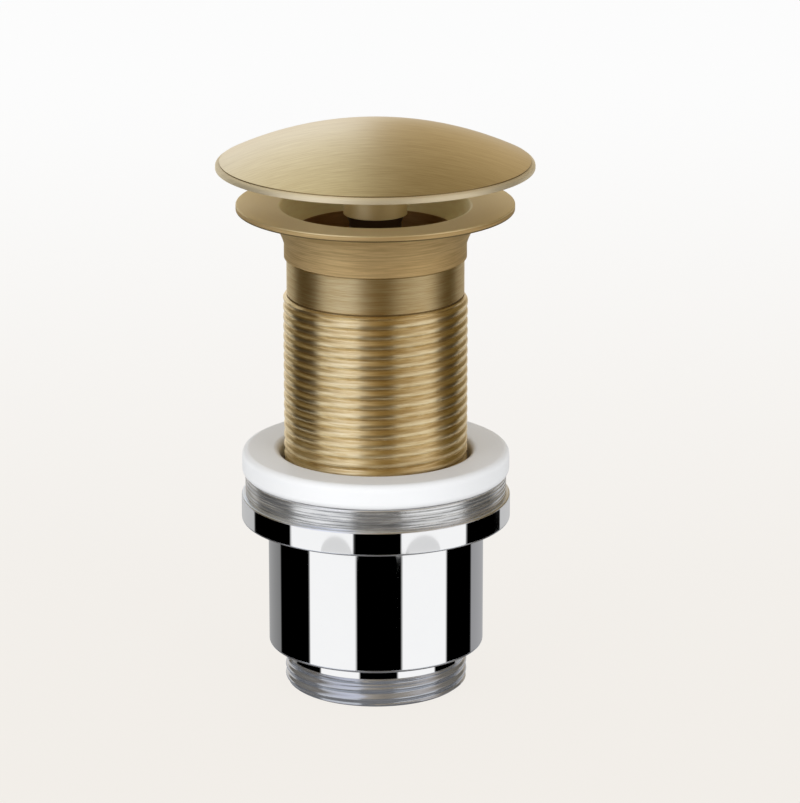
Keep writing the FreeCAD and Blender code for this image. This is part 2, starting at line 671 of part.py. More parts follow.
def build_cap_boss():
    """Boss under the cap: shoulder over the seal, clip groove and blind threaded bore."""
    body = new_body("cap_boss")
    bore = R_STUD_HOLE
    outer, shoulder = half("boss_dia"), half("boss_shoulder_dia")
    end = total(Z_HEAD, size("stud_reach"), size("boss_bore_room"))
    under = total(Z_DISC_TOP, size("face_play"))
    deep = total(outer, "-" + size("clip_groove"))
    clip_top = total(Z_CLIP, size("clip_thick"))
    foot = total(Z_BOSS, size("face_play"))
    turned = revolve(body, "boss_turning", [
        (bore, foot), (outer, foot), (outer, Z_CLIP), (deep, Z_CLIP), (deep, clip_top),
        (outer, clip_top), (outer, under), (shoulder, under), (shoulder, Z_PAD),
        ("0", Z_PAD), ("0", end), (bore, end)])
    dress(body, "boss_foot", "Chamfer", turned, [(outer, foot)], size("boss_bevel"))
    return body


def build_seal_clip():
    """Retaining clip in the boss's groove, under the seal disc."""
    body = new_body("seal_clip")
    inner = total(half("boss_dia"), "-" + size("clip_groove"))
    ring(body, "clip_turning", inner, half("clip_dia"), Z_CLIP,
         total(Z_CLIP, size("clip_thick")))
    sketch = new_sketch(body, "clip_gap_outline", "XY_Plane", total(Z_CLIP, "-" + PAST))
    side, near, far = half("clip_opening"), f"({inner} / 2)", total(half("clip_dia"), PAST)
    add_outline(sketch, [(near, f"(-{side})"), (far, f"(-{side})"), (far, side), (near, side)])
    gap = body.newObject("PartDesign::Pocket", "clip_gap")
    gap.Profile = sketch
    gap.Reversed = True
    gap.setExpression("Length", total(size("clip_thick"), PAST, PAST))
    return body


def build_seal_disc():
    """Disc on the boss that carries the rubber seal."""
    body = new_body("seal_disc")
    ring(body, "disc_turning", total(half("boss_dia"), size("run_fit")), half("disc_dia"),
         Z_DISC, Z_DISC_TOP)
    return body


def build_cap_seal():
    """Rubber seal: a C section that grips the disc, with a flat lip that closes on the flange."""
    body = new_body("cap_seal")
    disc, lip = half("disc_dia"), half("seal_dia")
    grip = total(disc, "-" + size("seal_lip"))
    core = total(disc, size("seal_wall"))
    top = total(Z_LIP, size("seal_lip_thick"))
    turned = revolve(body, "seal_turning", [
        (grip, Z_SEAL), (core, Z_SEAL), (core, Z_LIP), (lip, Z_LIP), (lip, top), (grip, top),
        (grip, Z_DISC_TOP), (disc, Z_DISC_TOP), (disc, Z_DISC), (grip, Z_DISC)])
    dress(body, "seal_edge", "Fillet", turned, [(lip, top)], size("seal_round"))
    return body


def build_basin_washer():
    """White washer that is clamped against the underside of the basin."""
    body = new_body("basin_washer")
    inner, outer = R_WASHER_HOLE, half("washer_dia")
    top = total(Z_COLLAR_TOP, size("washer_thick"))
    turned = ring(body, "gasket_turning", inner, outer, Z_COLLAR_TOP, top)
    dress(body, "gasket_edges", "Fillet", turned,
          [(inner, top), (outer, top), (outer, Z_COLLAR_TOP)], size("washer_round"))
    return body


def build_lower_body():
    """Chromed lower body: collar, clamping rim, cup and threaded tail in one piece."""
    body = new_body("lower_body")
    tail, tail_bore = half("thread_dia"), half("tail_bore_dia")
    cup, clamp, collar = half("cup_dia"), half("clamp_dia"), half("collar_dia")
    nut = R_NUT
    chamber = total(cup, "-" + size("cup_wall"))
    floor = total(Z_CUP, size("cup_floor"))
    nut_end = total(Z_COLLAR_TOP, "-" + size("nut_thread_length"))
    turned = revolve(body, "lower_turning", [
        (tail_bore, "0"), (tail, "0"), (tail, Z_CUP), (cup, Z_CUP), (cup, Z_CLAMP),
        (clamp, Z_CLAMP), (clamp, Z_COLLAR), (collar, Z_COLLAR), (collar, Z_COLLAR_TOP),
        (nut, Z_COLLAR_TOP), (nut, nut_end), (chamber, nut_end), (chamber, floor),
        (tail_bore, floor)])
    bevel = dress(body, "cup_foot", "Chamfer", turned, [(cup, Z_CUP)], size("cup_bevel"))
    edges = dress(body, "clamp_edges", "Chamfer", bevel, [(clamp, Z_CLAMP), (clamp, Z_COLLAR)],
                  size("clamp_bevel"))
    dress(body, "tail_lead", "Chamfer", edges, [(tail, "0")], size("tail_bevel"))
    return body


def add_collar_grooves(body):
    """Three shallow turned grooves round the collar."""
    outer = half("collar_dia")
    middle = total(Z_COLLAR, half("collar_length"))
    for index in (-1, 0, 1):
        level = total(middle, f"({index} * Sizes.collar_groove_pitch)")
        out = total(outer, size("collar_groove"))
        width = half("collar_groove_pitch")
        groove(body, f"collar_groove_{index + 2}", [
            (total(outer, "-" + size("collar_groove")), level),
            (out, total(level, "-" + width)), (out, total(level, width))])


def build_all():
    """Builds every piece and returns the bodies."""
    bodies = [build_flange_body(), build_spider(), build_end_plug(), build_lock_washer(),
              build_lock_nut(), build_housing(), build_guide_bush(), build_wiper_ring(),
              build_plunger(), build_plunger_stud(), build_rotor(), build_spring(),
              build_cap(), build_cap_boss(), build_seal_clip(), build_seal_disc(),
              build_cap_seal(), build_basin_washer(), build_lower_body()]
    add_collar_grooves(bodies[-1])
    DOC.recompute()
    return bodies


def check(bodies):
    """Stops on any failed object, empty shape or body of more than one solid."""
    for item in DOC.Objects:
        if "Invalid" in item.State or "Error" in item.State:
            raise RuntimeError(f"{item.Name} failed: {item.State}")
    for body in bodies:
        shape = body.Shape
        if shape.isNull() or not shape.isValid() or len(shape.Solids) != 1:
            raise RuntimeError(f"{body.Label}: shape is empty, broken or in pieces")


def export(bodies):
    """Writes each piece to a file with its own name."""
    os.makedirs("parts", exist_ok=True)
    for body in bodies:
        solid = body.Shape.Solids[0]
        solid.exportStep(os.path.join("parts", f"{body.Label}.step"))
        box = solid.BoundBox
        print(f"{body.Label:18s} {solid.Volume:10.1f} mm3  z {box.ZMin:7.2f} to {box.ZMax:7.2f}"
              f"  r {max(box.XMax, -box.XMin):6.2f}")


PIECES = build_all()
check(PIECES)
export(PIECES)
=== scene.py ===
"""Looks of the pop up basin waste: brushed brass over a chromed lower body, in a pale studio."""
import logging
import math
from dataclasses import dataclass, replace
from enum import Enum
from typing import ClassVar, Iterable, NamedTuple, Sequence, TypeAlias

import bmesh
import bpy
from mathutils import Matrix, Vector


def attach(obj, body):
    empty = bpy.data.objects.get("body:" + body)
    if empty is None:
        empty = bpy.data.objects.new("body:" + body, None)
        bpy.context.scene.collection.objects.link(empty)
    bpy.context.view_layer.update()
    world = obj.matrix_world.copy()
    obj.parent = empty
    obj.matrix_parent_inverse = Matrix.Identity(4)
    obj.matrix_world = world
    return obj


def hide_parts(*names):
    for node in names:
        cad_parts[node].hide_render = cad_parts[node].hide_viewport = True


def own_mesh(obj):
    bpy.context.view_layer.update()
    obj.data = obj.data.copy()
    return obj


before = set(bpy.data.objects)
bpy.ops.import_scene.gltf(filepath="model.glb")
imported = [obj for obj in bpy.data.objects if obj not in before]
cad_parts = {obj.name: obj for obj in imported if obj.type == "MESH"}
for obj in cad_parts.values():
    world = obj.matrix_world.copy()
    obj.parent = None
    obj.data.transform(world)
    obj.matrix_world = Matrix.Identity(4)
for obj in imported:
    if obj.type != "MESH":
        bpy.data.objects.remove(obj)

LOG = logging.getLogger("basin_waste")
MM = 0.001
TURN = 2 * math.pi
HALF_TURN = 180.0

# Tolerances of a turned mesh: welding and flat edges in metres, the others in millimetres.
WELD = 2e-7
FLAT = 1e-7
ON_AXIS = 1e-6
SAME_HEIGHT = 1e-4
THREAD_WALL = 3.0
# Distance in millimetres from a rounding to the row that holds the flat beside it.
SUPPORT = 0.03

# Numbers of the colour sockets of a Mix node.
MIX_FIRST, MIX_SECOND, MIX_RESULT = 6, 7, 2
# Scale, detail and roughness of the noise in a finish's fine and broad marks.
FINE_NOISE = (4.0, 3.0, 0.6)
BROAD_NOISE = (0.8, 2.0, 0.5)
BROAD_SHARE = 0.25
# Marks round the axis: their share of a streak, and the gap in metres that keeps them whole there.
ROUND_SHARE = 10
AXIS_GAP = 0.0005
# Turns the spread of reflections from along the tangent to across it.
QUARTER_TURN = 0.25

Value: TypeAlias = "Signal | float"
Colour = tuple[float, float, float]
Place = tuple[float, float, float]
Band = tuple[float, float, float]
Point = tuple[float, float]
Mesh = bmesh.types.BMesh
Ring = list[bmesh.types.BMVert]
Stops = tuple[tuple[float, Colour], ...]


class Signal:
    """The output of a shader node, used like a number in an expression."""

    def __init__(self, graph: "ShaderGraph", socket: bpy.types.NodeSocket) -> None:
        """Keeps the node tree's builder and the socket."""
        self.graph = graph
        self.socket = socket

    def __add__(self, other: Value) -> "Signal":
        """self + other."""
        return self.graph.math("ADD", self, other)

    def __radd__(self, other: Value) -> "Signal":
        """other + self."""
        return self.graph.math("ADD", other, self)

    def __sub__(self, other: Value) -> "Signal":
        """self - other."""
        return self.graph.math("SUBTRACT", self, other)

    def __rsub__(self, other: Value) -> "Signal":
        """other - self."""
        return self.graph.math("SUBTRACT", other, self)

    def __mul__(self, other: Value) -> "Signal":
        """self * other."""
        return self.graph.math("MULTIPLY", self, other)

    def __rmul__(self, other: Value) -> "Signal":
        """other * self."""
        return self.graph.math("MULTIPLY", other, self)

    def __truediv__(self, other: Value) -> "Signal":
        """self / other."""
        return self.graph.math("DIVIDE", self, other)

    def __rtruediv__(self, other: Value) -> "Signal":
        """other / self."""
        return self.graph.math("DIVIDE", other, self)

    def __neg__(self) -> "Signal":
        """-self."""
        return self * -1.0

    def clamped(self) -> "Signal":
        """The value held between 0 and 1."""
        return self.graph.math("MINIMUM", self.graph.math("MAXIMUM", self, 0.0), 1.0)


class ShaderGraph:
    """Builds one node tree."""

    def __init__(self, tree: bpy.types.NodeTree) -> None:
        """Empties the tree and keeps it."""
        tree.nodes.clear()
        self.tree = tree

    def node(self, kind: str, settings: dict | None = None,
             inputs: dict | None = None) -> bpy.types.Node:
        """Adds one node.

        Args:
            kind: The node's type.
            settings: Its own properties, set first; "stops" holds a ramp's (place, colour) pairs.
            inputs: Values or signals for its sockets, by name or number.

        Returns:
            The node.
        """
        made = self.tree.nodes.new(kind)
        for name, value in (settings or {}).items():
            if name == "stops":
                ramp = made.color_ramp
                while len(ramp.elements) < len(value):
                    ramp.elements.new(1.0)
                for element, (place, colour) in zip(ramp.elements, value):
                    element.position = place
                    element.color = (*colour, 1.0)
            else:
                setattr(made, name, value)
        for name, value in (inputs or {}).items():
            socket = made.inputs[name]
            if isinstance(value, Signal):
                self.tree.links.new(value.socket, socket)
            else:
                socket.default_value = value
        return made

    def signal(self, kind: str, settings: dict | None = None, inputs: dict | None = None,
               output: str | int = 0) -> Signal:
        """Adds one node and returns one of its outputs.

        Args:
            kind: The node's type.
            settings: Its own properties.
            inputs: Values or signals for its sockets.
            output: The output's name or number.

        Returns:
            The output as a signal.
        """
        return Signal(self, self.node(kind, settings, inputs).outputs[output])

    def math(self, operation: str, *values: Value) -> Signal:
        """Math node of an operation on one, two or three values."""
        return self.signal("ShaderNodeMath", {"operation": operation}, dict(enumerate(values)))

    def vector(self, x: Value, y: Value, z: Value) -> Signal:
        """Vector of three values."""
        return self.signal("ShaderNodeCombineXYZ", None, {"X": x, "Y": y, "Z": z})

    def axes(self, output: str) -> list[Signal]:
        """X, Y and Z of one kind of texture coordinates.

        Args:
            output: Name of their output on the Texture Coordinate node.

        Returns:
            The three values.
        """
        place = self.signal("ShaderNodeTexCoord", output=output)
        split = self.node("ShaderNodeSeparateXYZ", None, {"Vector": place})
        return [Signal(self, socket) for socket in split.outputs]

    def step(self, value: Signal, edge: float, soft: float) -> Signal:
        """Smooth step from 0 to 1 centred on edge and soft wide."""
        return self.signal("ShaderNodeMapRange", {"interpolation_type": "SMOOTHSTEP"}, {
            "Value": value, "From Min": edge - soft / 2, "From Max": edge + soft / 2})

    def between(self, value: Signal, low: float, high: float, soft: float) -> Signal:
        """1 where value lies from low to high, with edges that are soft wide, and 0 elsewhere."""
        return self.step(value, low, soft) * (1.0 - self.step(value, high, soft))

    def mix(self, factor: Value, first: "Signal | Colour",
            second: "Signal | Colour") -> Signal:
        """Mix of two colours.

        Args:
            factor: Share of the second colour.
            first: The first colour.
            second: The second colour.

        Returns:
            The mixed colour.
        """
        one, two = ((*side, 1.0) if isinstance(side, tuple) else side for side in (first, second))
        return self.signal("ShaderNodeMix", {"data_type": "RGBA"},
                           {0: factor, MIX_FIRST: one, MIX_SECOND: two}, MIX_RESULT)

    def ramp(self, value: Signal, reach: float, stops: Stops) -> Signal:
        """Colour ramp over a value.

        Args:
            value: The value.
            reach: How far the ramp goes to either side of 0.
            stops: Pairs of a value and a colour, from low to high.

        Returns:
            The colour.
        """
        low, whole = -reach, 2 * reach
        places = [((place - low) / whole, colour) for place, colour in stops]
        return self.signal("ShaderNodeValToRGB", {"stops": places},
                           {0: (value - low) * (1 / whole)})

    def noise(self, vector: Signal, scale: float, detail: float, roughness: float) -> Signal:
        """Noise between 0 and 1."""
        return self.signal("ShaderNodeTexNoise", {"noise_dimensions": "3D"}, {
            "Vector": vector, "Scale": scale, "Detail": detail, "Roughness": roughness})


class Lay(Enum):
    """Direction of the marks that a tool or a brush left."""

    ROUND = "round the axis"
    STRAIGHT = "along X"
    NONE = "none"


@dataclass(frozen=True)
class Finish:
    """A material of two colours in fine marks.

    Attributes:
        name: Name of the material.
        colour: Colour of the bright marks.
        second: Colour of the dull marks.
        roughness: Roughness between the marks.
        spread: How far the marks change it.
        metallic: 1 for bare metal and 0 for plastic and rubber.
        lay: Direction of the marks.
        grain: How close the marks lie side by side.
        streak: How short they are.
        bump: Strength of their relief.
        bump_depth: Depth of the relief in metres.
        anisotropy: How far reflections spread across the marks.
        contrast: How strongly the colours of the marks differ.
    """

    name: str
    colour: Colour
    second: Colour
    roughness: float
    spread: float = 0.10
    metallic: float = 0.0
    lay: Lay = Lay.NONE
    grain: float = 900.0
    streak: float = 40.0
    bump: float = 0.1
    bump_depth: float = 0.00002
    anisotropy: float = 0.0
    contrast: float = 1.0

    def pattern(self, graph: ShaderGraph) -> tuple[Signal, Signal]:
        """Fine and broad marks of the finish, both about 0 to 1.

        Args:
            graph: The material's node tree.

        Returns:
            The fine marks and the broad ones.
        """
        x, y, z = graph.axes("Object")
        if self.lay is Lay.ROUND:
            radius = graph.math("SQRT", x * x + y * y)
            away, share = radius + AXIS_GAP, self.streak / ROUND_SHARE
            along = graph.vector(x / away * share, y / away * share, (radius - z) * self.grain)
        elif self.lay is Lay.STRAIGHT:
            along = graph.vector(x * self.streak, y * self.grain, z * self.streak)
        else:
            along = graph.vector(x * self.grain, y * self.grain, z * self.grain)
        return graph.noise(along, *FINE_NOISE), graph.noise(along, *BROAD_NOISE)

    def material(self) -> bpy.types.Material:
        """The Blender material of this finish, made once.

        Returns:
            The material.
        """
        known = bpy.data.materials.get(self.name)
        if known:
            return known
        made = bpy.data.materials.new(self.name)
        made.use_nodes = True
        graph = ShaderGraph(made.node_tree)
        fine, broad = self.pattern(graph)
        marks = ((fine - 0.5) * self.contrast
                 + (broad - 0.5) * (BROAD_SHARE * self.contrast) + 0.5)
        colour = graph.mix(marks.clamped(), self.second, self.colour)
        rough = (self.roughness + (fine - 0.5) * self.spread).clamped()
        normal = graph.signal("ShaderNodeBump", None, {
            "Strength": self.bump, "Distance": self.bump_depth, "Height": fine}, "Normal")
        shader = graph.signal("ShaderNodeBsdfPrincipled", None, {
            "Base Color": colour, "Metallic": self.metallic, "Roughness": rough,
            "Normal": normal, "Anisotropic": self.anisotropy,
            "Anisotropic Rotation": QUARTER_TURN if self.anisotropy else 0.0})
        graph.node("ShaderNodeOutputMaterial", None, {"Surface": shader})
        return made


BRASS_TUBE = Finish(
    "brushed_brass_round", (1.0, 0.87, 0.56), (0.84, 0.65, 0.33), roughness=0.56, metallic=1.0,
    lay=Lay.ROUND, grain=1200.0, streak=9.0, bump=0.12, anisotropy=0.94, contrast=3.6)
BRASS_THREAD = replace(
    BRASS_TUBE, name="brushed_brass_thread", colour=(1.0, 0.87, 0.57), second=(0.78, 0.61, 0.32),
    roughness=0.34, grain=900.0, streak=12.0, anisotropy=0.9, contrast=3.4)
BRASS_NECK = replace(
    BRASS_TUBE, name="satin_brass_neck", colour=(0.99, 0.81, 0.47), second=(0.80, 0.62, 0.32),
    roughness=0.72, grain=1300.0, streak=7.0, bump=0.10, anisotropy=0.25, contrast=3.2)
BRASS_CAP = replace(
    BRASS_TUBE, name="brushed_brass_straight", colour=(0.87, 0.775, 0.555),
    second=(0.74, 0.635, 0.425), roughness=0.31, lay=Lay.STRAIGHT, grain=950.0, streak=42.0,
    anisotropy=0.0)
BRASS_FLANGE = Finish(
    "satin_brass_flange", (1.0, 0.86, 0.54), (0.94, 0.79, 0.47), roughness=0.50, spread=0.08,
    metallic=0.9, lay=Lay.ROUND, grain=800.0, streak=8.0, bump=0.05, anisotropy=0.5)
# Painted highlight: a paler copy of the brass that brightens the cap's rim band.
BRASS_RIM_PAINTED_HIGHLIGHT = replace(
    BRASS_FLANGE, name="brass_rim_painted_highlight", colour=(1.0, 0.91, 0.68), second=(0.98, 0.86, 0.62),
    roughness=0.60, metallic=0.8, anisotropy=0.85, contrast=1.5)
BRASS_SEAT = replace(
    BRASS_FLANGE, name="satin_brass_inside", colour=(1.0, 0.89, 0.51), second=(0.94, 0.78, 0.42),
    roughness=0.42, spread=0.10, metallic=0.5, bump=0.10, anisotropy=0.3, contrast=2.6)
# Painted shade: the bore's brass is dark reddish brown for the shade inside the bore.
BRASS_BORE_PAINTED_SHADE = replace(
    BRASS_SEAT, name="brass_bore_painted_shade", colour=(0.66, 0.40, 0.17), second=(0.50, 0.28, 0.10),
    metallic=0.8, grain=620.0, streak=10.0, contrast=1.8)
# Painted shadow line: a dark brass laid on the thread's top, the relief's grooves, the flange's
# lower edge and the cap's crease, where shade falls.
BRASS_PAINTED_SHADOW_LINE = replace(
    BRASS_BORE_PAINTED_SHADE, name="brass_painted_shadow_line", colour=(0.40, 0.30, 0.15), second=(0.30, 0.22, 0.10),
    roughness=0.50, metallic=1.0)
BRASS_PLAIN = Finish(
    "turned_brass", (0.80, 0.62, 0.33), (0.62, 0.46, 0.22), roughness=0.40, metallic=1.0,
    lay=Lay.ROUND, streak=10.0, bump_depth=0.00003, anisotropy=0.5)
CHROME = Finish(
    "polished_chrome", (0.94, 0.945, 0.95), (0.92, 0.925, 0.935), roughness=0.015, spread=0.004,
    metallic=1.0, grain=60.0, bump=0.0)
CHROME_EDGE = Finish(
    "softened_chrome_edge", (0.86, 0.91, 1.0), (0.80, 0.85, 0.93), roughness=0.36, spread=0.05,
    metallic=1.0, lay=Lay.ROUND, streak=8.0, bump=0.05, bump_depth=0.00001, anisotropy=0.3,
    contrast=1.5)
CHROME_THREAD = Finish(
    "chromed_thread", (0.58, 0.61, 0.67), (0.40, 0.42, 0.465), roughness=0.15, spread=0.06,
    metallic=0.75, lay=Lay.ROUND, streak=10.0, bump=0.05)
TURNED_CHROME = Finish(
    "turned_chrome", (0.96, 0.97, 0.98), (0.42, 0.43, 0.44), roughness=0.24, spread=0.12,
    metallic=0.85, lay=Lay.ROUND, streak=8.0, bump=0.3, bump_depth=0.00004, anisotropy=0.6,
    contrast=2.4)
STEEL = Finish(
    "stainless_steel", (0.62, 0.62, 0.61), (0.50, 0.50, 0.49), roughness=0.28, metallic=1.0,
    lay=Lay.ROUND, streak=30.0, bump=0.2)
WHITE_WASHER = Finish(
    "white_plastic", (0.875, 0.88, 0.892), (0.86, 0.865, 0.877), roughness=0.42, spread=0.06,
    bump=0.03)
WHITE_ROTOR = Finish(
    "white_acetal", (0.82, 0.82, 0.80), (0.76, 0.76, 0.74), roughness=0.38, spread=0.06,
    grain=700.0, bump=0.05)
BLACK_HEAD = Finish(
    "black_plastic", (0.042, 0.023, 0.009), (0.030, 0.016, 0.007), roughness=0.30, spread=0.08,
    lay=Lay.ROUND, streak=10.0)
BLACK_MOULDED = Finish(
    "black_acetal", (0.040, 0.040, 0.041), (0.028, 0.028, 0.029), roughness=0.42, grain=1500.0)
SILICONE = Finish(
    "pale_silicone", (0.84, 0.80, 0.71), (0.78, 0.74, 0.65), roughness=0.50, spread=0.08,
    grain=1500.0)
RUBBER = Finish(
    "black_rubber", (0.030, 0.030, 0.030), (0.020, 0.020, 0.020), roughness=0.62, spread=0.12,
    grain=2500.0, bump=0.2)


class Corner(NamedTuple):
    """A corner of a half section: radius and height, its rounding, and the finish that follows."""

    radius: float
    height: float
    round: float = 0.0
    finish: Finish | None = None


Spot = tuple[float, float, Finish | None]


def stretch(finish: Finish, *places: tuple[float, ...]) -> list[Corner]:
    """Corners in one finish, from radius, height and, where it has one, rounding."""
    return [Corner(*place)._replace(finish=finish) for place in places]


@dataclass(frozen=True)
class Thread:
    """A right-handed thread cut on a turned piece, from low to high.

    The crest runs at crest, the root lies depth below, and both ends fade to end_radius. A
    sharpness above 1 makes the crests broader and the grooves narrower.
    """

    crest: float
    pitch: float
    depth: float
    low: float
    high: float
    end_radius: float
    fade: float = 0.4
    sharpness: float = 1.0
    steps: int = 12

    def rows(self) -> list[Point]:
        """Rows of the helix, from a pitch below low to high.

        Returns:
            Height of each row at its start, and its depth below the crest.
        """
        turns = math.ceil((self.high - self.low) / self.pitch) + 1
        return [(self.low - self.pitch + turn * self.pitch + self.pitch * i / self.steps,
                 self.depth * (0.5 - 0.5 * math.cos(TURN * i / self.steps)) ** self.sharpness)
                for turn in range(turns) for i in range(self.steps)]

    def radius(self, height: float, sunk: float) -> float:
        """Radius of a row, faded to end_radius at both ends.

        Args:
            height: The height.
            sunk: The row's depth below the crest.

        Returns:
            The radius there.
        """
        near = min(height - self.low, self.high - height) / self.fade
        near = max(0.0, min(1.0, near))
        near = near * near * (3 - 2 * near)
        return self.end_radius + (self.crest - sunk - self.end_radius) * near


def rounded(corners: Sequence[tuple], steps: int = 5) -> list[Spot]:
    """Closed half section with its corners rounded.

    Args:
        corners: The corners in order, as Corner or as plain tuples in its order.
        steps: Points on each rounding, less one.

    Returns:
        Radius, height and finish of each point.
    """
    spots: list[Spot] = []
    corners = [Corner(*corner) for corner in corners]
    count = len(corners)
    for index, corner in enumerate(corners):
        before = corners[index - 1]
        after = corners[(index + 1) % count]
        here = Vector((corner.radius, corner.height))
        if corner.round <= 0:
            spots.append((here.x, here.y, corner.finish))
            continue
        back = (Vector((before.radius, before.height)) - here).normalized()
        ahead = (Vector((after.radius, after.height)) - here).normalized()
        opening = back.angle(ahead)
        reach = corner.round / math.tan(opening / 2)
        centre = here + (back + ahead).normalized() * (corner.round / math.sin(opening / 2))
        first = here + back * reach - centre
        sweep = first.angle_signed(here + ahead * reach - centre)
        low, high = (here + side * (reach + SUPPORT) for side in (back, ahead))
        arc = [centre + Vector((first.x * math.cos(turn) - first.y * math.sin(turn),
                                first.x * math.sin(turn) + first.y * math.cos(turn)))
               for turn in (-sweep * step / steps for step in range(steps + 1))]
        spots += [(spot.x, spot.y, corner.finish) for spot in (low, *arc, high)]
    return spots


def ball_height(edge: Point, top: float, radius: float) -> float:
    """Height on a sphere about the axis.

    Args:
        edge: Radius and height of a point on it.
        top: Height of its pole.
        radius: Distance from the axis.

    Returns:
        The height there.
    """
    rise = top - edge[1]
    ball = (edge[0] ** 2 + rise ** 2) / (2 * rise)
    return top - ball + math.sqrt(ball ** 2 - radius ** 2)


def arc_corners(edge: Point, top: float, count: int, inner: float = 0.0,
                finish: Finish | None = None) -> list[Corner]:
    """Corners along a sphere about the axis, from a point on it towards its pole.

    Args:
        edge: Radius and height of the first point, which is left out.
        top: Height of the pole.
        count: How many corners.
        inner: Radius of the last one.
        finish: Finish of the stretch.

    Returns:
        The corners.
    """
    radii = (edge[0] + (inner - edge[0]) * step / count for step in range(1, count + 1))
    return [Corner(radius, ball_height(edge, top, radius), 0.0, finish) for radius in radii]


@dataclass
class Turning:
    """A solid of revolution, with at most one stretch of thread between two of its points.

    A corner without a finish of its own has the first of the finishes.
    """

    name: str
    corners: Sequence[tuple]
    finishes: list[Finish]
    segments: int = 192
    thread: Thread | None = None
    crease: float = 32.0

    def build(self) -> bpy.types.Object:
        """Builds the mesh and gives it its finishes.

        Returns:
            The new object, linked to the scene.
        """
        section = rounded(self.corners)
        mesh = bmesh.new()
        rings = [self.ring(mesh, radius, height) for radius, height, _ in section]
        for index, spot in enumerate(section):
            after = (index + 1) % len(section)
            finish = self.finishes.index(spot[2]) if spot[2] else 0
            if self.thread and self.spans_thread(spot, section[after]):
                self.cut_thread(mesh, finish)
            else:
                self.bridge(mesh, rings[index], rings[after], finish)
        bmesh.ops.remove_doubles(mesh, verts=mesh.verts, dist=WELD)
        bmesh.ops.dissolve_degenerate(mesh, edges=mesh.edges, dist=FLAT)
        bmesh.ops.recalc_face_normals(mesh, faces=mesh.faces)
        return finish_object(mesh, self.name, self.finishes, self.crease)

    def ring(self, mesh: Mesh, radius: float, height: float) -> Ring:
        """One ring of vertices, which is a single one over and over on the axis.

        Args:
            mesh: The mesh.
            radius: Radius in millimetres.
            height: Height in millimetres.

        Returns:
            The vertices in order.
        """
        if radius < ON_AXIS:
            return [mesh.verts.new((0.0, 0.0, height * MM))] * self.segments
        return [mesh.verts.new((radius * MM * math.cos(a), radius * MM * math.sin(a), height * MM))
                for a in (TURN * i / self.segments for i in range(self.segments))]

    def bridge(self, mesh: Mesh, first: Ring, second: Ring, finish: int) -> None:
        """Faces between two rings.

        Args:
            mesh: The mesh.
            first: The one ring.
            second: The other.
            finish: Number of the finish.
        """
        for i in range(self.segments):
            j = (i + 1) % self.segments
            loop = list(dict.fromkeys((first[i], first[j], second[j], second[i])))
            if len(loop) > 2:
                mesh.faces.new(loop).material_index = finish

    def spans_thread(self, one: Spot, two: Spot) -> bool:
        """Whether the thread runs between two points of the section, on its outer wall."""
        ends = zip(sorted((one[1], two[1])), (self.thread.low, self.thread.high))
        return (one[0] > self.thread.crest - THREAD_WALL
                and all(abs(height - end) < SAME_HEIGHT for height, end in ends))

    def cut_thread(self, mesh: Mesh, finish: int) -> None:
        """Helical rows of vertices between two rings, held to their heights at both ends.

        Args:
            mesh: The mesh.
            finish: Number of the finish.
        """
        rows = self.thread.rows()
        columns: list[Ring] = []
        for i in range(self.segments + 1):
            turn = i / self.segments
            column = []
            for place, sunk in rows:
                height = place + self.thread.pitch * turn
                height = max(self.thread.low, min(self.thread.high, height))
                radius = self.thread.radius(height, sunk) * MM
                angle = TURN * turn
                column.append(mesh.verts.new(
                    (radius * math.cos(angle), radius * math.sin(angle), height * MM)))
            columns.append(column)
        for i in range(self.segments):
            for j in range(len(rows) - 1):
                corners = [columns[i][j], columns[i + 1][j], columns[i + 1][j + 1],
                           columns[i][j + 1]]
                mesh.faces.new(corners).material_index = finish


def add_object(name: str, data: bpy.types.ID) -> bpy.types.Object:
    """Puts data into the scene.

    Args:
        name: Name of the object.
        data: Its mesh, lamp or camera.

    Returns:
        The object, linked to the scene.
    """
    made = bpy.data.objects.new(name, data)
    bpy.context.scene.collection.objects.link(made)
    return made


def finish_object(mesh: Mesh, name: str, finishes: Sequence[Finish],
                  crease: float) -> bpy.types.Object:
    """Turns a bmesh into an object with smooth faces and sharp edges.

    Args:
        mesh: The geometry, which is freed.
        name: Name of the piece.
        finishes: Finishes by the faces' material index.
        crease: Angle in degrees above which an edge is sharp.

    Returns:
        The object, linked to the scene.
    """
    data = bpy.data.meshes.new(name)
    mesh.to_mesh(data)
    mesh.free()
    data.polygons.foreach_set("use_smooth", [True] * len(data.polygons))
    data.set_sharp_from_angle(angle=math.radians(crease))
    for finish in finishes:
        data.materials.append(finish.material())
    return add_object(name, data)


def settle(piece: bpy.types.Object, body: str, node: str) -> None:
    """Hands a piece to the frame.

    Args:
        piece: The piece.
        body: Name of the body that it rides on.
        node: Name of the node that it stands for, which is hidden.
    """
    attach(piece, body)
    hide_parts(node)
    LOG.info("%s: %d faces on %s", piece.name, len(piece.data.polygons), body)


def dress(node: str, finish: Finish) -> None:
    """Gives a CAD node its finish through its object's material slots.

    Args:
        node: Name of the node.
        finish: Its finish.
    """
    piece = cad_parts[node]
    if not piece.material_slots:
        piece.data.materials.append(None)
    for slot in piece.material_slots:
        slot.link = "OBJECT"
        slot.material = finish.material()
    LOG.info("%s: dressed with %s", node, finish.name)


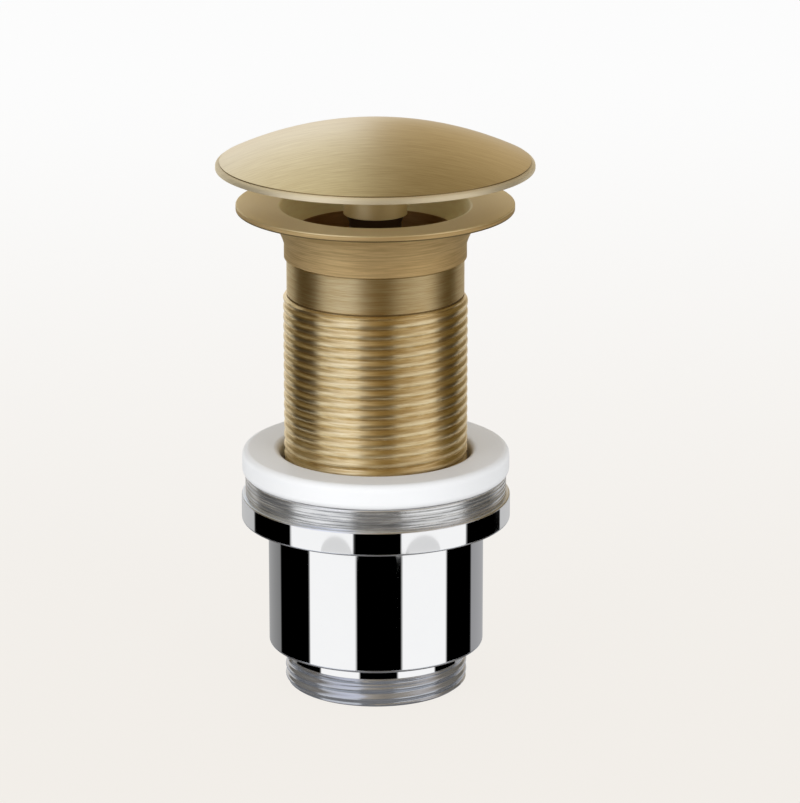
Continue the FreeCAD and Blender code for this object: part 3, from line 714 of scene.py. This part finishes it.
@dataclass
class LowerBody:
    """Chromed lower body: threaded tail, cup, clamping rim and turned collar."""

    thread_radius: float = 20.955
    pitch: float = 2.309
    depth: float = 0.6
    root: float = 20.35
    lead: float = 19.9
    bevel: float = 0.35
    plain: float = 3.2
    plain_radius: float = 20.7
    tail_bore: float = 17.5
    tail: float = 9.7
    cup: float = 24.7
    cup_edge: float = 0.65
    chamber: float = 22.5
    floor: float = 13.5
    rim: float = 30.8
    rim_low: float = 39.6
    rim_high: float = 45.3
    rim_edge: float = 0.45
    collar: float = 29.9
    collar_top: float = 50.1
    nut: float = 21.005
    nut_end: float = 40.0
    line_depth: float = 0.22
    line_half: float = 0.16
    lines: tuple[float, ...] = (45.75, 46.3, 47.15, 47.6, 48.3, 49.3)

    def collar_corners(self) -> list[Corner]:
        """Collar with its turned lines, unevenly spaced, and the inside of the body.

        Returns:
            The corners.
        """
        places = [(self.collar, self.rim_high)]
        for height in self.lines:
            places += [(self.collar, height - self.line_half),
                       (self.collar - self.line_depth, height),
                       (self.collar, height + self.line_half)]
        return stretch(TURNED_CHROME, *places, (self.collar, self.collar_top, 0.3),
                       (self.nut, self.collar_top, 0.4), (self.nut, self.nut_end),
                       (self.chamber, self.nut_end), (self.chamber, self.floor, 0.8),
                       (self.tail_bore, self.floor))

    def build(self) -> None:
        """Builds and dresses the lower body."""
        top = self.tail - self.plain
        thread = Thread(self.thread_radius, self.pitch, self.depth, self.bevel, top, self.root,
                        sharpness=1.2)
        corners = [*stretch(CHROME_THREAD, (self.tail_bore, 0.0, 0.3), (self.lead, 0.0, 0.2),
                            (self.root, self.bevel)),
                   (self.root, top), (self.plain_radius, top + self.bevel, 0.1),
                   (self.plain_radius, self.tail, 0.2), (self.cup, self.tail, 0.6, CHROME_EDGE),
                   (self.cup, self.tail + self.cup_edge), (self.cup, self.rim_low),
                   (self.rim, self.rim_low, 0.4, CHROME_EDGE),
                   (self.rim, self.rim_low + self.rim_edge),
                   (self.rim, self.rim_high, 0.4, CHROME_EDGE), *self.collar_corners()]
        piece = Turning("lower_body_chrome", corners,
                        [CHROME, TURNED_CHROME, CHROME_THREAD, CHROME_EDGE], segments=256,
                        thread=thread).build()
        settle(piece, "lower_unit", "lower_body")


@dataclass
class BasinWasher:
    """White washer round the tube."""

    inner: float = 21.9
    outer: float = 30.6
    low: float = 50.1
    high: float = 56.0
    round: float = 1.5

    def build(self) -> None:
        """Builds and dresses the washer."""
        corners = [(self.inner, self.low), (self.outer, self.low, self.round),
                   (self.outer, self.high, self.round), (self.inner, self.high, self.round)]
        piece = Turning("basin_washer_white", corners, [WHITE_WASHER]).build()
        settle(piece, "washer_unit", "basin_washer")


@dataclass
class FlangeBody:
    """Brass basin flange, stepped neck and threaded tube."""

    bore: float = 18.0
    tube: float = 20.955
    lead: float = 19.9
    bevel: float = 0.5
    pitch: float = 2.309
    depth: float = 0.62
    root: float = 20.15
    low: float = 37.0
    thread_top: float = 92.2
    relief: float = 20.15
    step: float = 101.1
    neck: float = 20.7
    flare_low: float = 104.4
    flare_wide: float = 25.7
    flare_centre: float = 35.0
    flare_steps: int = 14
    under: float = 112.0
    top: float = 113.5
    rim: float = 31.5
    rim_edge: float = 0.35
    seat: float = 21.6
    seat_low: float = 107.5
    nick: float = 0.3
    thread_nick: tuple[float, float, float] = (0.05, 0.3, 0.55)
    step_nick: Point = (0.4, 0.2)
    dish: float = 0.6

    def relief_corners(self) -> list[tuple]:
        """Plain relief between the thread and the step, with a fine groove at each end, painted
        dark as a shadow line.

        Returns:
            The corners from the thread up to the neck.
        """
        sunk = self.relief - self.nick
        first, second, third = (self.thread_top + rise for rise in self.thread_nick)
        low, high = (self.step - drop for drop in self.step_nick)
        return [(sunk, first, 0.0, BRASS_PAINTED_SHADOW_LINE), (sunk, second), (self.relief, third),
                (self.relief, low), (sunk, high, 0.0, BRASS_PAINTED_SHADOW_LINE), (sunk, self.step)]

    def neck_corners(self) -> list[tuple]:
        """Neck and the hollow curve that flares from it to the flange's underside.

        Returns:
            The corners, both ends of the curve included.
        """
        run, rise = self.flare_wide - self.neck, self.under - self.flare_low
        level = ((self.flare_low + self.under) / 2
                 - (self.flare_centre - (self.neck + self.flare_wide) / 2) * run / rise)
        first = math.atan2(self.flare_low - level, self.neck - self.flare_centre)
        last = math.atan2(self.under - level, self.flare_wide - self.flare_centre)
        ball = math.hypot(self.neck - self.flare_centre, self.flare_low - level)
        angles = (first + (last - first) * i / self.flare_steps
                  for i in range(self.flare_steps + 1))
        return stretch(BRASS_NECK, (self.neck, self.step, 0.1),
                       *((self.flare_centre + ball * math.cos(a), level + ball * math.sin(a))
                         for a in angles))

    def build(self) -> None:
        """Builds and dresses the flange body."""
        start = self.low + self.bevel
        thread = Thread(self.tube, self.pitch, self.depth, start, self.thread_top, self.root,
                        sharpness=2.2)
        # The thread's top, the relief's grooves and the flange's lower edge carry painted shadow
        # lines.
        corners = [(self.bore, self.low, 0.3), (self.lead, self.low, 0.1),
                   (self.root, start, 0.0, BRASS_THREAD),
                   (self.root, self.thread_top, 0.0, BRASS_PAINTED_SHADOW_LINE), *self.relief_corners(),
                   *self.neck_corners(), (self.rim, self.under, 0.3, BRASS_PAINTED_SHADOW_LINE),
                   (self.rim, self.under + self.rim_edge, 0.0, BRASS_NECK),
                   (self.rim, self.top, 0.25, BRASS_FLANGE),
                   (self.seat, self.top - self.dish, 0.8, BRASS_SEAT),
                   # The bore below the seat is painted dark as shade.
                   (self.bore, self.seat_low, 0.0, BRASS_BORE_PAINTED_SHADE)]
        piece = Turning("flange_body_brass", corners,
                        [BRASS_TUBE, BRASS_NECK, BRASS_SEAT, BRASS_BORE_PAINTED_SHADE, BRASS_FLANGE,
                         BRASS_THREAD, BRASS_PAINTED_SHADOW_LINE], thread=thread).build()
        settle(piece, "flange_unit", "flange_body")


@dataclass
class Cap:
    """Domed cap with its boss and the clip under the seal."""

    rim: float = 36.0
    low: float = 121.6
    rim_top: float = 122.8
    apex: float = 131.3
    inner: float = 33.0
    inner_apex: float = 129.5
    pad: float = 9.5
    pad_low: float = 127.8
    boss: float = 7.2
    shoulder: float = 9.0
    boss_low: float = 111.45
    boss_end: float = 122.6
    bore: float = 4.05
    dome_steps: int = 90
    under_steps: int = 20
    crease: float = 35.1
    line: float = 0.24
    line_width: float = 0.02
    rim_drop: float = 0.05
    skirt: float = 0.5
    skirt_bore: float = 6.8
    clip_root: float = 6.6
    clip_low: float = 117.35
    clip_top: float = 118.15
    shoulder_low: float = 120.25

    def build_dome(self) -> None:
        """Builds the cap: pad, hollow underside, rim, fine groove painted dark as a shadow line,
        and dome.
        """
        base = (self.rim, self.rim_top)
        dome = [corner for corner in arc_corners(base, self.apex, self.dome_steps)
                if corner.radius < self.crease]
        edge = ball_height(base, self.apex, self.crease)
        under = arc_corners((self.inner, self.low), self.inner_apex, self.under_steps, self.pad,
                            BRASS_FLANGE)
        corners = [(0.0, self.pad_low, 0.0, BRASS_FLANGE),
                   (self.pad, self.pad_low, 0.3, BRASS_FLANGE), *reversed(under),
                   (self.inner, self.low, 0.3, BRASS_FLANGE),
                   # The cap's rim wall and its top rounding are painted paler as a highlight band.
                   (self.rim, self.low, 0.2, BRASS_RIM_PAINTED_HIGHLIGHT),
                   (self.rim, self.rim_top - self.rim_drop, 0.7, BRASS_RIM_PAINTED_HIGHLIGHT),
                   # The fine groove below the dome is painted dark as a shadow line.
                   (self.crease + self.line_width, edge - self.line, 0.0, BRASS_PAINTED_SHADOW_LINE),
                   (self.crease, edge), *dome]
        piece = Turning("cap_dome", corners, [BRASS_CAP, BRASS_FLANGE, BRASS_RIM_PAINTED_HIGHLIGHT, BRASS_PAINTED_SHADOW_LINE],
                        segments=256).build()
        settle(piece, "cap_unit", "cap")

    def build_boss(self) -> None:
        """Builds the boss, from its skirt past the clip's groove to the blind bore."""
        skirt_low = self.boss_low - self.skirt
        corners = [(self.bore, self.boss_low), (self.skirt_bore, self.boss_low),
                   (self.skirt_bore, skirt_low), (self.boss, skirt_low, 0.1),
                   (self.boss, self.clip_low), (self.clip_root, self.clip_low),
                   (self.clip_root, self.clip_top), (self.boss, self.clip_top),
                   (self.boss, self.shoulder_low), (self.shoulder, self.shoulder_low, 0.3),
                   (self.shoulder, self.pad_low), (0.0, self.pad_low), (0.0, self.boss_end),
                   (self.bore, self.boss_end)]
        piece = Turning("cap_boss_brass", corners, [BRASS_FLANGE], segments=96).build()
        settle(piece, "cap_unit", "cap_boss")

    def build(self) -> None:
        """Builds and dresses the cap, its boss and the clip."""
        self.build_dome()
        self.build_boss()
        dress("seal_clip", STEEL)


@dataclass
class Seal:
    """Rubber seal on its disc, under the cap."""

    low: float = 117.5
    disc_low: float = 118.2
    disc_top: float = 120.2
    disc: float = 14.0
    grip: float = 12.8
    core: float = 15.3
    lip: float = 24.0
    lip_low: float = 121.3
    top: float = 123.3

    def build(self) -> None:
        """Builds and dresses the seal and its disc."""
        corners = [(self.grip, self.low, 0.3), (self.core, self.low, 0.5),
                   (self.core, self.lip_low, 0.4), (self.lip, self.lip_low, 0.3),
                   (self.lip, self.top, 0.6), (self.grip, self.top, 0.3),
                   (self.grip, self.disc_top), (self.disc, self.disc_top),
                   (self.disc, self.disc_low), (self.grip, self.disc_low)]
        piece = Turning("cap_seal_rubber", corners, [SILICONE], segments=128).build()
        settle(piece, "seal_unit", "cap_seal")
        dress("seal_disc", WHITE_ROTOR)


@dataclass
class Plunger:
    """Plunger with its tapered head, and the stud that the cap screws on."""

    stud: float = 4.0
    pitch: float = 1.25
    depth: float = 0.65
    core: float = 3.4
    low: float = 102.4
    thread_low: float = 111.4
    thread_top: float = 120.2
    tip: float = 3.2
    tip_top: float = 120.9

    def build(self) -> None:
        """Dresses the plunger and builds the threaded stud."""
        dress("plunger", BLACK_HEAD)
        thread = Thread(self.stud, self.pitch, self.depth, self.thread_low, self.thread_top,
                        self.core, steps=8)
        corners = [(0.0, self.low), (self.core, self.low, 0.3), (self.core, self.thread_low),
                   (self.core, self.thread_top), (self.tip, self.tip_top, 0.2),
                   (0.0, self.tip_top)]
        piece = Turning("plunger_stud_steel", corners, [STEEL], segments=64,
                        thread=thread).build()
        settle(piece, "plunger_unit", "plunger_stud")


@dataclass
class Spring:
    """Coil spring between the end plug and the rotor."""

    radius: float = 4.1
    wire: float = 0.5
    low: float = 63.5
    high: float = 81.5
    turns: float = 7.0
    steps: int = 48
    sides: int = 10
    crease: float = 60.0

    def build(self) -> None:
        """Builds the coil, with a mesh of its own; the real coil flattens as the cap is pushed
        down.
        """
        mesh = bmesh.new()
        rings = []
        total = int(self.turns * self.steps)
        for step in range(total + 1):
            angle = TURN * step / self.steps
            height = self.low + (self.high - self.low) * step / total
            out = Vector((math.cos(angle), math.sin(angle), 0.0))
            ring = []
            for side in range(self.sides):
                a = TURN * side / self.sides
                spot = out * (self.radius + self.wire * math.cos(a))
                spot.z = height + self.wire * math.sin(a)
                ring.append(mesh.verts.new(spot * MM))
            rings.append(ring)
        for first, second in zip(rings, rings[1:]):
            for side in range(self.sides):
                after = (side + 1) % self.sides
                mesh.faces.new([first[side], second[side], second[after], first[after]])
        mesh.faces.new(rings[0])
        mesh.faces.new(list(reversed(rings[-1])))
        bmesh.ops.recalc_face_normals(mesh, faces=mesh.faces)
        piece = finish_object(mesh, "spring_coil", [STEEL], self.crease)
        # The seat stays 63 mm up, and the stroke takes 7.7 mm of the 19 mm above it.
        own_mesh(piece)
        settle(piece, "flange_unit", "spring")


@dataclass
class Cartridge:
    """Cartridge parts that keep the solids of the frame."""

    finishes: ClassVar[dict[str, Finish]] = {
        "spider": BRASS_PLAIN, "end_plug": BRASS_PLAIN, "lock_washer": STEEL,
        "lock_nut": STEEL, "cartridge_housing": BLACK_MOULDED, "guide_bush": BLACK_MOULDED,
        "wiper_ring": RUBBER, "rotor": WHITE_ROTOR}

    def build(self) -> None:
        """Dresses the cartridge's nodes and builds its spring."""
        for node, finish in self.finishes.items():
            dress(node, finish)
        Spring().build()


@dataclass(frozen=True)
class Lamp:
    """A square soft lamp in front of the waste, in metres and watts."""

    name: str
    place: Place
    size: float
    power: float
    aim: Place = (0.0, 0.0, 0.06)

    def build(self) -> None:
        """Adds the lamp, turned to the waste and unseen in reflections."""
        data = bpy.data.lights.new(self.name, "AREA")
        data.energy = self.power
        data.size = self.size
        lamp = add_object(self.name, data)
        lamp.location = self.place
        aim = Vector(self.aim) - Vector(self.place)
        lamp.rotation_euler = aim.to_track_quat("-Z", "Y").to_euler()
        lamp.visible_glossy = False


def stops(*pairs: tuple[float, float | Colour]) -> Stops:
    """Stops of a ramp from pairs of a value and a colour, or a number for a grey."""
    return tuple((place, tone if isinstance(tone, tuple) else (tone,) * 3)
                 for place, tone in pairs)


@dataclass(frozen=True)
class Room:
    """The world: a pale room for the eye and for matt surfaces, and cards that metal mirrors.

    A direction is told by its turn round the waste, in degrees from the front and growing to
    the right, and by the sine of its height. An edge is a pair of its place and its softness,
    a band has its low end, its high end and its softness.
    """

    polished: Stops = stops(
        (-180.0, 0.50), (-160.0, 0.34), (-124.5, 0.20), (-123.5, 0.0), (-76.2, 0.0),
        (-75.0, 0.97), (-21.6, 0.97), (-20.4, 0.0), (27.6, 0.0), (28.8, 0.97), (81.0, 0.97),
        (82.2, 0.0), (123.5, 0.0), (124.5, (0.30, 0.30, 0.31)), (160.0, (0.38, 0.38, 0.39)),
        (180.0, 0.50))
    upper: Stops = stops(
        (-180.0, 0.50), (-160.0, 0.54), (-128.5, 0.50), (-127.5, 0.0), (-78.2, 0.0),
        (-77.0, 0.96), (-19.4, 0.96), (-18.2, 0.0), (21.4, 0.0), (22.6, 0.96), (83.4, 0.96),
        (84.6, 0.0), (133.5, 0.0), (134.5, 0.54), (160.0, 0.56), (180.0, 0.50))
    warm: Stops = stops(
        (-180.0, (0.95, 0.88, 0.78)), (-128.0, (0.95, 0.88, 0.78)), (-121.0, (0.12, 0.07, 0.01)),
        (-82.0, (0.10, 0.055, 0.005)), (-73.0, (0.60, 0.57, 0.54)), (-56.0, (0.86, 0.85, 0.93)),
        (-38.0, (1.0, 1.0, 1.10)), (-24.0, (0.94, 0.93, 1.0)), (-16.0, (0.52, 0.44, 0.33)),
        (-4.0, (0.37, 0.275, 0.145)), (14.0, (0.20, 0.13, 0.04)), (22.0, (0.26, 0.185, 0.085)),
        (45.0, (0.42, 0.34, 0.24)), (66.0, (0.72, 0.65, 0.59)), (82.0, (0.58, 0.50, 0.42)),
        (96.0, (0.24, 0.16, 0.05)), (120.0, (0.18, 0.12, 0.035)), (126.0, (0.52, 0.43, 0.31)),
        (180.0, (0.70, 0.61, 0.49)))
    sky: Stops = stops(
        (-0.9, (0.10, 0.07, 0.02)), (-0.66, (0.20, 0.17, 0.12)), (-0.58, (0.94, 0.94, 0.95)),
        (-0.06, (1.0, 0.99, 0.99)), (0.0, (0.52, 0.42, 0.27)), (0.12, (0.50, 0.39, 0.23)),
        (0.5, (0.64, 0.51, 0.325)), (0.62, (0.14, 0.10, 0.05)), (0.9, (0.10, 0.07, 0.02)))
    zenith: Stops = stops(
        (-0.9, (0.30, 0.26, 0.20)), (-0.6, (0.70, 0.64, 0.47)), (-0.10, (0.64, 0.59, 0.43)),
        (0.02, (0.23, 0.17, 0.08)), (0.9, (0.19, 0.135, 0.06)))
    sky_reach: float = 0.9
    wedge_shift: float = 0.3
    wedge_least: float = 0.05
    spread_from: float = -0.385
    spread: float = 0.6
    sag: float = 0.0094
    upper_edge: Point = (-0.3151, 0.0004)
    patches: tuple[Point, ...] = ((-34.0, 14.0), (41.5, 16.0))
    patch_drop: float = 0.3156
    patch_height: float = 0.0044
    patch_edge: Point = (1.0, 0.12)
    patch_tone: Colour = (0.70, 0.70, 0.70)
    behind_edge: Point = (126.0, 8.0)
    behind_high: Point = (-0.27, 0.08)
    behind_pale: Colour = (0.76, 0.75, 0.74)
    behind_low: Point = (0.48, 0.12)
    behind_dark: Colour = (0.12, 0.11, 0.10)
    low_band: Band = (-0.64, -0.38, 0.02)
    low_share: float = 0.2
    low_tone: Colour = (0.25, 0.25, 0.25)
    wall_band: Band = (-0.385, -0.09, 0.03)
    ground_edge: Point = (0.68, 0.25)
    ground_tone: Colour = (0.15, 0.14, 0.13)
    zenith_edge: Point = (0.6, 0.8)
    back_edge: Point = (0.05, 0.2)
    top_edge: Point = (0.88, 0.12)
    sky_edge: Point = (0.10, 0.08)
    level: float = 0.665
    tint: Colour = (0.985, 1.0, 1.005)
    seen: Colour = (0.97, 0.965, 0.955)

    def polished_cards(self, graph: ShaderGraph, turn: Signal, z: Signal) -> Signal:
        """Black and white cards that stand round the waste, for its chrome.

        Args:
            graph: The world's node tree.
            turn: The direction's turn.
            z: Its height.

        Returns:
            The colour.
        """
        low = graph.ramp(turn, HALF_TURN, self.polished)
        high = graph.ramp(turn, HALF_TURN, self.upper)
        level = z - (1.0 - graph.math("COSINE", turn * (math.pi / HALF_TURN / 2))) * self.sag
        for middle, half in self.patches:
            across = (turn - middle) * (1 / half)
            up = (level + self.patch_drop) * (1 / self.patch_height)
            inside = 1.0 - graph.step(across * across + up * up, *self.patch_edge)
            high = graph.mix(inside, high, self.patch_tone)
        return graph.mix(graph.step(level, *self.upper_edge), low, high)

    def cards(self, graph: ShaderGraph) -> Signal:
        """Everything that metal mirrors.

        Args:
            graph: The world's node tree.

        Returns:
            The colour.
        """
        x, y, z = graph.axes("Generated")
        turn = graph.math("ARCTAN2", x, -y) * (HALF_TURN / math.pi)
        turn = turn * (1.0 - graph.math("MAXIMUM", self.spread_from - z, 0.0) * self.spread)
        polished = self.polished_cards(graph, turn, z)
        warm = graph.ramp(turn, HALF_TURN, self.warm)
        behind = graph.step(graph.math("ABSOLUTE", turn), *self.behind_edge)
        polished = graph.mix(behind * graph.step(z, *self.behind_high), polished,
                             self.behind_pale)
        warm = graph.mix(behind * graph.step(-z, *self.behind_low), warm, self.behind_dark)
        ring = graph.mix(graph.between(z, *self.low_band), warm,
                         graph.mix(self.low_share, polished, self.low_tone))
        ring = graph.mix(graph.between(z, *self.wall_band), ring, polished)
        ring = graph.mix(graph.step(-z, *self.ground_edge), ring, self.ground_tone)
        above = graph.math("MAXIMUM", graph.step(y, *self.back_edge),
                           graph.step(z, *self.top_edge))
        wedge = x / graph.math("MAXIMUM", z + self.wedge_shift, self.wedge_least)
        sky = graph.mix(graph.step(z, *self.zenith_edge),
                        graph.ramp(wedge, self.sky_reach, self.sky),
                        graph.ramp(wedge, self.sky_reach, self.zenith))
        return graph.mix(above * graph.step(z, *self.sky_edge), ring, sky)

    def build(self) -> None:
        """Sets up the world."""
        room = bpy.data.worlds.new("studio")
        room.use_nodes = True
        graph = ShaderGraph(room.node_tree)
        matt = graph.signal("ShaderNodeLightPath", output="Is Diffuse Ray")
        seen = graph.signal("ShaderNodeLightPath", output="Is Camera Ray")
        pale = tuple(self.level * part for part in self.tint)
        colour = graph.mix(seen, graph.mix(matt, self.cards(graph), pale), self.seen)
        glow = graph.signal("ShaderNodeBackground", None, {"Color": colour, "Strength": 1.0})
        graph.node("ShaderNodeOutputWorld", None, {"Surface": glow})
        bpy.context.scene.world = room


@dataclass
class Studio:
    """Floor, lamps, world and camera."""

    focal_pixels: float = 4275
    frame_pixels: float = 803
    sensor: float = 36
    clip: Point = (0.01, 50.0)
    distance: float = 0.976
    elevation: float = 16.3
    target_x: float = 0.00555
    target_z: float = 0.06674
    floor_half: float = 8.0
    fade: Point = (-0.10, 0.70)
    front: Colour = (0.902, 0.868, 0.822)
    back: Colour = (1.0, 1.0, 1.0)
    paper: Colour = (0.82, 0.82, 0.82)
    glow_share: float = 0.94
    room: Room = Room()
    lamps: tuple[Lamp, ...] = (Lamp("lamp_left", (-0.72, -0.66, 0.20), 0.45, 3.7),
                               Lamp("lamp_right", (0.60, -0.76, 0.30), 0.5, 3.1))

    def camera(self) -> None:
        """Camera at the photograph's place."""
        data = bpy.data.cameras.new("camera")
        data.lens = self.focal_pixels * self.sensor / self.frame_pixels
        data.sensor_width = self.sensor
        data.clip_start, data.clip_end = self.clip
        lift = math.radians(self.elevation)
        eye = add_object("camera", data)
        eye.location = (self.target_x, -self.distance * math.cos(lift),
                        self.target_z + self.distance * math.sin(lift))
        eye.rotation_euler = (math.pi / 2 - lift, 0.0, 0.0)
        bpy.context.scene.camera = eye

    def paper_material(self) -> bpy.types.Material:
        """Paper that shines plainly to the eye, a little darker to the front.

        Returns:
            The floor's material.
        """
        made = bpy.data.materials.new("floor_paper")
        made.use_nodes = True
        graph = ShaderGraph(made.node_tree)
        depth = graph.axes("Object")[1]
        near, far = self.fade
        fade = graph.signal("ShaderNodeMapRange", {"interpolation_type": "SMOOTHSTEP"},
                            {"Value": depth, "From Min": near, "From Max": far})
        colour = graph.mix(fade, self.front, self.back)
        glow = graph.signal("ShaderNodeEmission", None, {"Color": colour, "Strength": 1.0})
        paper = graph.signal("ShaderNodeBsdfDiffuse", None, {"Color": (*self.paper, 1.0)})
        seen = graph.signal("ShaderNodeLightPath", output="Is Camera Ray")
        both = graph.signal("ShaderNodeMixShader", None,
                            {0: seen * self.glow_share, 1: paper, 2: glow})
        graph.node("ShaderNodeOutputMaterial", None, {"Surface": both})
        return made

    def floor(self) -> None:
        """Pale floor, which keeps a faint shadow and isn't seen in reflections."""
        mesh = bmesh.new()
        bmesh.ops.create_grid(mesh, x_segments=2, y_segments=2, size=self.floor_half)
        data = bpy.data.meshes.new("floor")
        mesh.to_mesh(data)
        mesh.free()
        data.materials.append(self.paper_material())
        floor = add_object("floor", data)
        floor.visible_glossy = False

    def build(self) -> None:
        """Sets up the whole studio."""
        bpy.context.scene.view_settings.view_transform = "Standard"
        self.camera()
        self.floor()
        self.room.build()
        for lamp in self.lamps:
            lamp.build()
        LOG.info("studio is set up")


def main() -> None:
    """Builds the waste's sub-assemblies and the studio round them."""
    logging.basicConfig(level=logging.INFO, format="%(message)s")
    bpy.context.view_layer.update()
    for part in (Studio(), FlangeBody(), Cap(), Seal(), Plunger(), Cartridge(), BasinWasher(),
                 LowerBody()):
        part.build()


if __name__ == "__main__":
    main()
